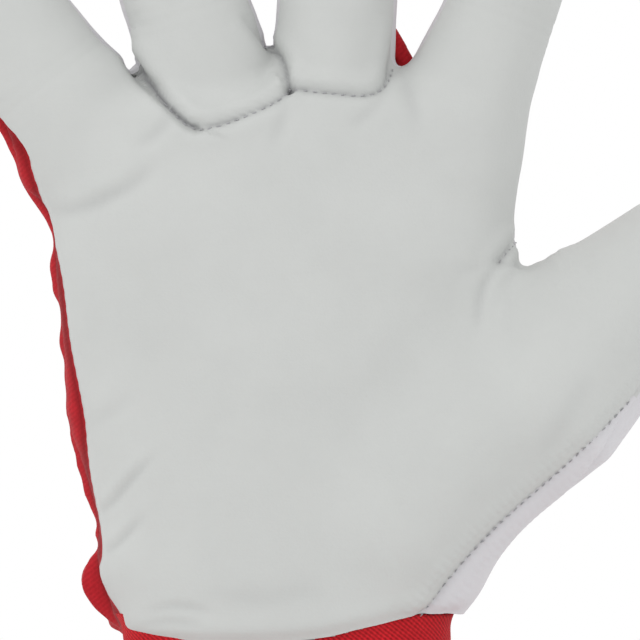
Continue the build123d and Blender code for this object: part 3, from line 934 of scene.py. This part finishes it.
def build_piece(name, wanted, thickness, material, inside=None):
    """A panel's chosen triangles, with an inner face and a rim; its number of painted shade goes with it."""
    chosen = corner[wanted]
    used, inverse = np.unique(chosen, return_inverse=True)
    face = inverse.reshape(-1, 3)
    n = len(used)
    points = np.concatenate([outer[used], outer[used] - normals[used] * thickness])
    edges = np.concatenate([face[:, (0, 1)], face[:, (1, 2)], face[:, (2, 0)]])
    _, index, count = np.unique(np.sort(edges, 1), axis=0, return_index=True, return_counts=True)
    border = edges[index[count == 1]]
    b, a = border.T
    rim = np.concatenate([np.stack([a, b, b + n], 1), np.stack([a, b + n, a + n], 1)])
    everything = np.concatenate([face, face[:, ::-1] + n, rim])
    mesh = bpy.data.meshes.new(name)
    mesh.vertices.add(len(points))
    mesh.vertices.foreach_set("co", (points * MM).astype(np.float32).ravel())
    mesh.loops.add(everything.size)
    mesh.loops.foreach_set("vertex_index", everything.astype(np.int32).ravel())
    mesh.polygons.add(len(everything))
    mesh.polygons.foreach_set("loop_start", np.arange(0, everything.size, 3, dtype=np.int32))
    mesh.update(calc_edges=True)
    mesh.polygons.foreach_set("use_smooth", np.ones(len(everything), bool))
    mesh.materials.append(material)
    if inside is not None:
        mesh.materials.append(inside)
        slots = np.zeros(len(everything), np.int32)
        slots[len(face):2 * len(face)] = 1
        mesh.polygons.foreach_set("material_index", slots)
    # The painted shade of folds and seams, for the outer and inner points alike
    shade = mesh.attributes.new("fold", "FLOAT", "POINT")
    shade.data.foreach_set("value", np.tile(point_fold_shade[used], 2).astype(np.float32))
    mesh.normals_split_custom_set_from_vertices(np.concatenate([normals[used], -normals[used]]))
    return in_scene(name, mesh)


def declare(nodes=()):
    """Hides the CAD nodes that a piece stands for."""
    if nodes:
        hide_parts(*nodes)


# %% The hand's panels
middle_rest = rest[corner].mean(1)
is_panel = {name: panel == i for i, name in enumerate(PANELS)}
in_hand = part == 0
high_hand = in_hand & (middle_rest[:, 2] > HAND_SPLIT)
wrist = in_hand & ~high_hand
made = []


# Thickness, outer material, its slot, and the material inside
PALM_SKIN = (LEATHER, palm_leather, "palm_leather", None)
WING_SKIN = (LEATHER, wing_leather, "wing_leather", None)
BACK_CLOTH = (CLOTH, red_drill, "red_drill", red_lining)


def panel_piece(name, wanted, finish):
    """A panel's chosen triangles in one finish, added to the list of pieces made."""
    thickness, material, _, inside = finish
    piece = build_piece(name, wanted, thickness, material, inside)
    made.append(piece)
    return piece


def hand_piece(name, wanted, finish, node):
    """A filled piece that moves with the hand alone."""
    piece = panel_piece(name, wanted, finish)
    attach(piece, "hand")
    declare([node])


for name, panel_name, finish, node in (
        ("palm_panel", "palm", PALM_SKIN, "palm_leather"), ("wing_panel", "wing", WING_SKIN, "thumb_wing"),
        ("back_panel", "back", BACK_CLOTH, "back_cloth"),
        ("ring_finger_base", "ring", PALM_SKIN, "ring_base_front"),
        ("middle_finger_base", "middle", PALM_SKIN, "middle_base_front"),
        ("thumb_crotch_piece", "crotch", WING_SKIN, "thumb_crotch_gusset")):
    hand_piece(name, high_hand & is_panel[panel_name], finish, node)
x = middle_rest[:, 0]
for name, node, left, right in (("little_ring_web", "little_ring_gusset", -90, -17),
                                ("ring_middle_web", "ring_middle_gusset", -17, 12),
                                ("middle_index_web", "middle_index_gusset", 12, 90)):
    hand_piece(name, high_hand & is_panel["strip"] & (x > left) & (x < right), WING_SKIN, node)
for panel_name, finish in (("palm", PALM_SKIN), ("wing", WING_SKIN), ("back", BACK_CLOTH)):
    piece = panel_piece(f"{panel_name}_wrist", wrist & is_panel[panel_name], finish)
    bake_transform(piece)
    declare()
print([piece.name for piece in made])

# %% [markdown]
# ## The elastic at the wrist
# A short elastic tape is stretched and sewn inside the back cloth, so that the wrist gathers when it
# is let go. It takes the back panel's own triangles, moved inwards by the thickness of the cloth.

# %% The elastic tape, sewn inside the back of the wrist
TAPE, TAPE_GAP = 0.9, 0.1            # its thickness, and its distance from the cloth
low, high = (v[2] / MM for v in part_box("wrist_elastic"))
tape = is_panel["back"] & (middle_rest[:, 2] > low) & (middle_rest[:, 2] < high)
tape &= (np.abs(middle_rest[:, 0]) < 25) & (middle_rest[:, 1] > 5)
outer -= normals * (CLOTH + TAPE_GAP)
tape_piece = build_piece("elastic_tape", tape, TAPE, elastic)
outer += normals * (CLOTH + TAPE_GAP)
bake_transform(tape_piece)
declare(["wrist_elastic"])
print("hand pieces", len(made), "tape faces", int(tape.sum()))

# %% [markdown]
# ## The fingers' pieces
# Each limb's panels are cut into pieces along its length. A piece is named after the body above its
# bend and stands in for that body's CAD node, which is hidden. Leather round a filled finger can only
# turn in a wide curve, but these pieces are not made to bend: each stays where it is, joined to no body.

# %% Fingers and thumb
BENDS = {"little": ((0, 20), (20.5, 41.5), (43, 55)), "ring": ((0, 23), (25, 48), (51, 65)),
         "middle": ((0, 24), (26, 50), (56, 70)), "index": ((0, 23), (24, 48), (50, 64)),
         "thumb": ((14, 30), (33, 57))}
CHAIN = {name: ("hand", f"{name}_root", f"{name}_mid", f"{name}_tip") for name in FINGERS}
CHAIN["thumb"] = ("hand", "thumb_root", "thumb_tip")
FINISH = {"palm": ("front", PALM_SKIN), "ring": ("front", PALM_SKIN), "middle": ("front", PALM_SKIN),
          "wing": ("back", WING_SKIN), "strip": ("side", WING_SKIN), "back": ("back", BACK_CLOTH)}
for i, name in enumerate(LIMB_NAMES):
    for step, (start, end) in enumerate(BENDS[name]):
        below, above = CHAIN[name][step:step + 2]
        for panel_name, (face_name, finish) in FINISH.items():
            wanted = (tri_owner == i) & (part == step + 1) & is_panel[panel_name]
            if not wanted.any():
                continue
            piece = panel_piece(f"{above}_{face_name}_panel", wanted, finish)
            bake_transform(piece)
            declare([f"{above}_{face_name}"])
print("pieces", len(made), "triangles", sum(len(p.data.polygons) for p in made), "time",
      round(time.time() - started, 1))
left = [n for n, o in frame["nodes"].items() if not o.hide_render]
print("CAD nodes still shown", left)

# %% [markdown]
# ## The cuff
# The cuff is a plain tube of twill, wider at its mouth, tucked just inside the leather at the wrist.
# A grid of rings and spokes is enough, since its ribs come from the weave of its material, laid out
# on the tube's own width and height so that they keep their pitch all the way round.

# %% Cuff, in two panels with a turned edge
cuff_low, cuff_high = (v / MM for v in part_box("cuff_hem"))
MOUTH = ((cuff_high[0] - cuff_low[0]) / 2, (cuff_high[1] - cuff_low[1]) / 2)
CUFF_TOP = 66.0
TUCK, TUCK_SIDE = 1.5, 0.6       # how far inside the leather its top sits, front and back, and at the sides
TUCK_LOW_SIDE = 1.4              # how much less that is at the sides, below the leather


def cuff_ring(z, angle):
    """Points of the cuff's outer face: a flared tube below, the form's own section at the wrist."""
    top = np.array([through(z, HAND, 1), through(z, HAND, 2), through(z, HAND, 3), through(z, HAND, 4)])
    share = np.clip(z / 59, 0, 1) ** 1.1
    # It goes in at the sides only where the leather covers it
    side = TUCK_SIDE - TUCK_LOW_SIDE * (1 - ramp(z, 59, 64.5))
    left = -MOUTH[0] * (1 - share) + (top[0] + side) * share
    right = MOUTH[0] * (1 - share) + (top[1] - side) * share
    front = MOUTH[1] * (1 - share) + (top[2] - TUCK) * share
    back = MOUTH[1] * (1 - share) + (top[3] - TUCK) * share
    half = (right - left) / 2
    depth = np.where(np.sin(angle) < 0, front, back)
    power = 2 + (HAND_POWER - 2) * share
    c, s = np.abs(np.cos(angle)), np.abs(np.sin(angle))
    radius = ((c / half) ** power + (s / depth) ** power) ** (-1 / power)
    return np.stack([(left + right) / 2 + radius * np.cos(angle), radius * np.sin(angle), z + 0 * angle], -1)


def tube_piece(name, heights, angles, offset, thickness, material, ripple):
    """A strip of the cuff between two angles: outer and inner faces with rims, and a UV map in metres."""
    z, angle = np.meshgrid(heights, angles, indexing="ij")
    grid = cuff_ring(z.ravel(), angle.ravel()).reshape(*z.shape, 3)
    du = np.gradient(grid, axis=1)
    dv = np.gradient(grid, axis=0)
    normal = unit(np.cross(du, dv).reshape(-1, 3)).reshape(grid.shape)
    push = offset + ripple(z, angle)
    face_out = grid + normal * push[..., None]
    face_in = face_out - normal * thickness
    rows, cols = z.shape
    n = rows * cols
    i = (np.arange(rows - 1)[:, None] * cols + np.arange(cols - 1)).ravel()
    quads = np.stack([i, i + 1, i + 1 + cols, i + cols], 1)
    inner = quads[:, ::-1] + n
    rings = [np.arange(cols), np.arange(cols)[::-1] + (rows - 1) * cols,
             (np.arange(rows) * cols)[::-1], np.arange(rows) * cols + cols - 1]
    rim = [np.stack([r[1:], r[:-1], r[:-1] + n, r[1:] + n], 1) for r in rings]
    mesh = bpy.data.meshes.new(name)
    points = np.concatenate([face_out.reshape(-1, 3), face_in.reshape(-1, 3)]) * MM
    mesh.from_pydata(points.tolist(), [], np.concatenate([quads, inner, *rim]).tolist())
    length = np.cumsum(np.linalg.norm(np.diff(grid[rows // 2], axis=0, prepend=grid[rows // 2][:1]), axis=1))
    uv = np.stack([np.tile(length, rows), z.ravel()], 1) * MM
    uv = np.concatenate([uv, uv])
    loops = np.zeros(len(mesh.loops), np.int32)
    mesh.loops.foreach_get("vertex_index", loops)
    mesh.uv_layers.new(name="Cloth").data.foreach_set("uv", uv[loops].astype(np.float32).ravel())
    mesh.polygons.foreach_set("use_smooth", np.ones(len(mesh.polygons), bool))
    mesh.materials.append(material)
    return in_scene(name, mesh), float(length[-1]) * MM


def soft_ripple(z, angle):
    """Slack folds that run down the cuff and fade towards the wrist and the turned edge."""
    folds = 0.9 * np.sin(5 * angle + 0.6) + 0.6 * np.sin(9 * angle + 2.1) + 0.4 * np.sin(14 * angle + z * 0.05)
    seam = bell(np.abs(np.cos(angle)) - 1, 0.004)
    return folds * ramp(z, 2, 20) * (1 - ramp(z, 40, 58)) + 0.25 * np.sin(z * 0.35 + 3 * angle) - 0.5 * seam


def edge_ripple(z, angle):
    """The turned edge: rounded, with a groove at its stitches and one near the mouth."""
    rounded = np.sqrt(np.clip(1 - ((z - HEM_MIDDLE) / HEM_HALF) ** 2, 0, 1))
    return soft_ripple(z, angle) + 0.45 * rounded - 0.35 * bell(z - 7.6, 0.5) - 0.25 * bell(z - 1.6, 0.5)


HEM, HEM_MIDDLE, HEM_HALF = 9.0, 4.5, 4.3
HEM_LAYERS = 1.4                 # what the turned layers add to the cloth's own thickness
across = np.linspace(0, math.pi, 200)
for side, shift, node in (("front", math.pi, "cuff_front"), ("back", 0.0, "cuff_back")):
    heights = np.arange(HEM - 1, CUFF_TOP + 0.01, 0.75)
    piece, width = tube_piece(f"cuff_{side}_panel", heights, across + shift, 0.0, CLOTH, red_twill, soft_ripple)
    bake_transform(piece)
    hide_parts(node)
hem, width = tube_piece("cuff_edge", np.arange(0.4, HEM + 0.01, 0.5), np.linspace(0, 2 * math.pi, 400), 0.6,
                        CLOTH + HEM_LAYERS, red_twill, edge_ripple)
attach(hem, "cuff")
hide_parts("cuff_hem")
print("cuff", round(width, 3), "m round")

# %% [markdown]
# ## Stitches
# A row of stitches is one small shape repeated along a line. Geometry Nodes does that well: the line
# is resampled at the stitch length, a capsule is placed at each point and turned along the line, and
# the result is made real. Modelling each stitch by hand would never be even.

# %% The stitch tree
def stitch_tree():
    """A node tree that puts small capsules along a line, each turned a little unevenly."""
    tree = bpy.data.node_groups.new("Row of stitches", "GeometryNodeTree")
    tree.interface.new_socket("Geometry", in_out="OUTPUT", socket_type="NodeSocketGeometry")
    for name, kind in (("Geometry", "NodeSocketGeometry"), ("Pitch", "NodeSocketFloat"),
                       ("Length", "NodeSocketFloat"), ("Thickness", "NodeSocketFloat"),
                       ("Seed", "NodeSocketInt"), ("Thread", "NodeSocketMaterial")):
        tree.interface.new_socket(name, in_out="INPUT", socket_type=kind)
    inputs = add(tree, "NodeGroupInput").outputs
    curve = add(tree, "GeometryNodeMeshToCurve", [(inputs["Geometry"], "Mesh")])
    even = add(tree, "GeometryNodeResampleCurve",
               [(curve.outputs["Curve"], "Curve"), (inputs["Pitch"], "Length")], mode="LENGTH")
    ball = add(tree, "GeometryNodeMeshUVSphere", in_Segments=6, in_Rings=5, in_Radius=0.5)
    tangent = add(tree, "GeometryNodeInputTangent")
    turn = add(tree, "FunctionNodeAlignRotationToVector", [(tangent.outputs["Tangent"], "Vector")], axis="X")
    wobble = add(tree, "FunctionNodeRandomValue", [(inputs["Seed"], "Seed")], data_type="FLOAT_VECTOR")
    wobble.inputs["Min"].default_value = (-0.3, -0.3, -0.3)
    wobble.inputs["Max"].default_value = (0.3, 0.3, 0.3)
    uneven = add(tree, "FunctionNodeRotateRotation",
                 [(turn.outputs["Rotation"], "Rotation"), (wobble.outputs["Value"], "Rotate By")],
                 rotation_space="LOCAL")
    size = add(tree, "ShaderNodeCombineXYZ", [(inputs["Length"], "X"), (inputs["Thickness"], "Y"),
                                              (inputs["Thickness"], "Z")])
    placed = add(tree, "GeometryNodeInstanceOnPoints",
                 [(even.outputs["Curve"], "Points"), (ball.outputs["Mesh"], "Instance"),
                  (uneven.outputs["Rotation"], "Rotation"), (size.outputs["Vector"], "Scale")])
    real = add(tree, "GeometryNodeRealizeInstances", [(placed.outputs["Instances"], "Geometry")])
    painted = add(tree, "GeometryNodeSetMaterial",
                  [(real.outputs["Geometry"], "Geometry"), (inputs["Thread"], "Material")])
    add(tree, "NodeGroupOutput", [(painted.outputs["Geometry"], "Geometry")])
    return tree


row_tree = stitch_tree()
print("the stitch tree has", len(row_tree.nodes), "nodes")
ids = {item.name: item.identifier for item in row_tree.interface.items_tree if item.in_out == "INPUT"}


def sewn(name, lines, thread, pitch=2.0, length=1.35, thickness=0.34):
    """One mesh with a row of stitches along each line of points, given in millimetres."""
    points, edges = [], []
    for line in lines:
        start = len(points)
        points += (np.asarray(line) * MM).tolist()
        edges += [(start + k, start + k + 1) for k in range(len(line) - 1)]
    mesh = bpy.data.meshes.new(name + "_line")
    mesh.from_pydata(points, edges, [])
    lines_object = in_scene(name + "_line", mesh)
    modifier = lines_object.modifiers.new("Stitches", "NODES")
    modifier.node_group = row_tree
    for key_name, value in (("Pitch", pitch * MM), ("Length", length * MM), ("Thickness", thickness * MM)):
        modifier[ids[key_name]] = value
    modifier[ids["Seed"]] = 7
    modifier[ids["Thread"]] = thread
    graph = bpy.context.evaluated_depsgraph_get()
    real = bpy.data.meshes.new_from_object(lines_object.evaluated_get(graph), depsgraph=graph)
    bpy.data.objects.remove(lines_object)
    real.name = name
    real.polygons.foreach_set("use_smooth", np.ones(len(real.polygons), bool))
    piece = in_scene(name, real)
    return piece


# %% [markdown]
# ## Where the stitches lie
# Stitches follow the seams, so each row starts as a flat line and is dropped onto the finished
# surface. A search tree finds the nearest points; a ray cast could slip through a fold.

# %% Laying the lines on the surface
def lay(line, facing, lift=0.0):
    """Puts (X, Z) points on the front (-1) or back (1) of the finished surface."""
    tree = surface_trees[facing]
    out = []
    for x, z in line:
        hits = tree.find_n((x, 0, z), 3)
        weights = np.array([1 / (d + 0.05) for _, _, d in hits])
        index = [surface_points[facing][k] for _, k, _ in hits]
        weights = weights / weights.sum()
        point = (outer[index] * weights[:, None]).sum(0)
        normal_at = (normals[index] * weights[:, None]).sum(0)
        out.append([x, point[1], z] + normal_at / np.linalg.norm(normal_at) * lift)
    return np.array(out)


surface_points, surface_trees = {}, {}
for facing in (-1, 1):
    chosen = np.flatnonzero((normals[:, 1] * facing > 0.05) & (outer[:, 1] * facing > -6))
    surface_points[facing] = chosen
    tree = kdtree.KDTree(len(chosen))
    for k, (x, _, z) in enumerate(outer[chosen]):
        tree.insert((x, 0, z), k)
    tree.balance()
    surface_trees[facing] = tree


def beside(line, gap):
    """The same line moved sideways, to the left where gap is positive."""
    d = unit(np.gradient(line, axis=0))
    return line + np.stack([-d[:, 1], d[:, 0]], 1) * gap


# Each row stops where its seam turns out of sight: low on the wrist, at the thumb, and in the gaps
WING_START, WING_STOP, RING_STOP, MIDDLE_STOP = 64, 71, 172.5, 180
wing_top = WING_SEAM[(WING_SEAM[:, 1] > HAND_SPLIT) & (WING_SEAM[:, 0] < WING_STOP)]
wing_low = WING_SEAM[(WING_SEAM[:, 1] <= HAND_SPLIT) & (WING_SEAM[:, 1] > WING_START)]
base_line = RING_BASE[(RING_BASE[:, 1] < RING_STOP) | (RING_BASE[:, 0] > -20)]
middle_line = MIDDLE_BASE[MIDDLE_BASE[:, 1] < MIDDLE_STOP]
rows_on_hand = [lay(beside(wing_top, 0.3), -1, 0.08), lay(beside(base_line, -0.45), -1, 0.14),
                lay(beside(middle_line, -0.45), -1, 0.14), lay(CROTCH_SEAM, -1, 0.1)]
hand_rows = sewn("palm_stitches", rows_on_hand, grey_thread, pitch=1.9, length=1.15, thickness=0.28)
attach(hand_rows, "hand")
wrist_rows = sewn("wrist_stitches", [lay(beside(wing_low, 0.3), -1, 0.05)], grey_thread, pitch=1.9, length=1.2,
                  thickness=0.28)
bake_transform(wrist_rows)
ELASTIC_ROWS, ELASTIC_ENDS = (70.0, 75.0), (-33, 20)      # heights of the two rows, and where they run
elastic_rows = [lay(np.stack([np.linspace(*ELASTIC_ENDS, 90), np.full(90, z)], 1), 1, 0.08)
                for z in ELASTIC_ROWS]
shirring = sewn("elastic_stitches", elastic_rows, red_thread, pitch=2.4, length=1.7, thickness=0.3)
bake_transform(shirring)
HEM_ROW, HEM_LIFT = 7.7, 0.75
turn = np.linspace(0, 2 * math.pi, 260)
ring = cuff_ring(np.full(len(turn), HEM_ROW), turn)
hem_row = ring + unit(ring * (1, 1, 0)) * (HEM_LIFT + soft_ripple(HEM_ROW, turn))[:, None]
hem_stitches = sewn("cuff_edge_stitches", [hem_row], red_thread, pitch=2.8, length=2.0, thickness=0.35)
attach(hem_stitches, "cuff")
print("stitch faces", [len(o.data.polygons) for o in (hand_rows, wrist_rows, shirring, hem_stitches)])

# %% [markdown]
# ## Light, floor and camera
# Pale leather is lit from nearly everywhere, so that nothing is lost in shadow;
# a little more light from above left keeps the folds readable. The lens is long and the camera
# looks straight at the palm, level with it, so that the outline is not distorted.

# %% Stage
floor_mesh = bpy.data.meshes.new("floor")
FLOOR = 0.7
floor_mesh.from_pydata([(-FLOOR, -FLOOR, -0.001), (FLOOR, -FLOOR, -0.001), (FLOOR, FLOOR, -0.001),
                        (-FLOOR, FLOOR, -0.001)], [], [(0, 1, 2, 3)])
floor = in_scene("floor", floor_mesh)
floor_material, _, floor_shader = new_material("Pale studio paper", 0.9)
floor_shader.inputs["Base Color"].default_value = srgb("#F4F4F4")
floor_mesh.materials.append(floor_material)
floor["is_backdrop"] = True
world = bpy.data.worlds.new("studio")
world.use_nodes = True
world.node_tree.nodes["Background"].inputs["Color"].default_value = (1, 1, 1, 1)
world.node_tree.nodes["Background"].inputs["Strength"].default_value = 1.0
bpy.context.scene.world = world


def soft_light(name, place, target, size, power):
    """A square lamp that faces a point."""
    light = bpy.data.lights.new(name, "AREA")
    light.size = size
    light.energy = power
    lamp = in_scene(name, light)
    lamp.location = place
    lamp.rotation_euler = (Vector(target) - Vector(place)).to_track_quat("-Z", "Y").to_euler()
    lamp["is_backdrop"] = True


VIEW = Vector((0.0065, 0, 0.1272))       # the middle of the palm, which the camera looks at
VIEW_WIDTH = 0.1344
DISTANCE = 2.5
soft_light("key from above left", (-0.6, -0.5, 0.8), VIEW, 0.5, 2.0)
soft_light("fill from the right", (0.7, -0.5, 0.25), VIEW, 0.6, 0.4)
camera_data = bpy.data.cameras.new("camera")
camera_data.lens = camera_data.sensor_width * DISTANCE / VIEW_WIDTH
camera = in_scene("camera", camera_data)
camera.location = VIEW + Vector((0, -DISTANCE, 0))
camera.rotation_euler = (math.pi / 2, 0, 0)
bpy.context.scene.camera = camera
bpy.context.scene.view_settings.view_transform = "Standard"
print("lens", round(camera_data.lens), "mm,", DISTANCE, "m away")

# %% Finish
def as_list(box):
    return [[float(v) for v in corner_point] for corner_point in box]


shown_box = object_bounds()
print("CAD", as_list(cad_box), "visual", as_list(shown_box), "time", round(time.time() - started, 1))
